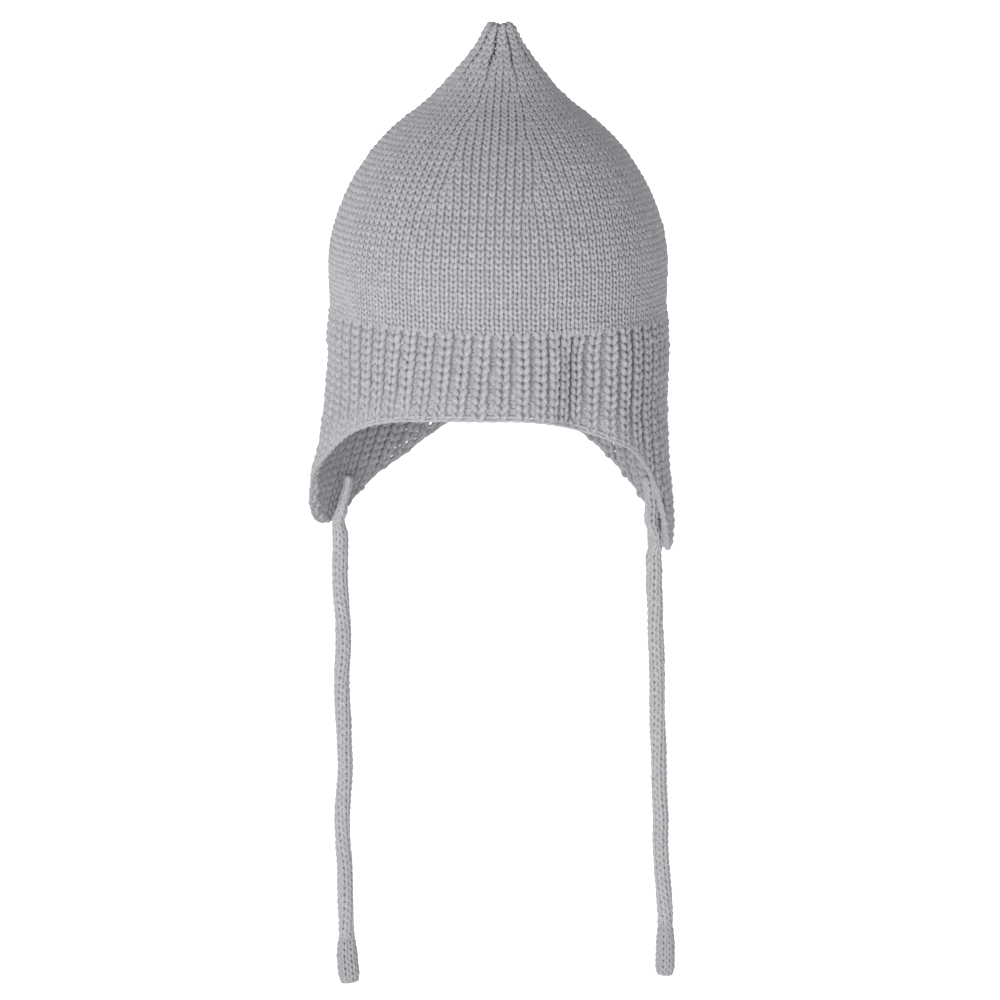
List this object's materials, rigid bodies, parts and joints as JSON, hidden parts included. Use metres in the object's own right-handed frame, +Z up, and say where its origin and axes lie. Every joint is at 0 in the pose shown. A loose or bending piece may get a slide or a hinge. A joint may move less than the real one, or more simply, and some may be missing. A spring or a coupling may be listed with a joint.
{
  "type": "knitted hat with ear flaps and ties",
  "caption": "Pointed toddler's knitted hat: stockinette crown, ribbed band that runs into ear flaps, and knitted ties that hang from the flaps.",
  "frame": {"origin": "on the hat's axis, level with the join of crown and band, where the hat grips the head", "axes": "+Z up towards the point of the crown, -Y the way the face looks, +X the wearer's left"},
  "size_m": [0.163, 0.1731, 0.4311],
  "materials": {
    "stockinette": "matt pale grey wool blend yarn, plain knitted",
    "rib": "matt pale grey wool blend yarn, knitted in deep upright ribs",
    "tie_cord": "matt pale grey wool blend yarn, knitted as a round cord"
  },
  "bodies": {
    "root": {"crown": "stockinette", "ribbed_band": "rib", "tie_right": "tie_cord", "tie_left": "tie_cord", "tie_tab_right": "tie_cord", "tie_tab_left": "tie_cord"}
  },
  "joints": []
}
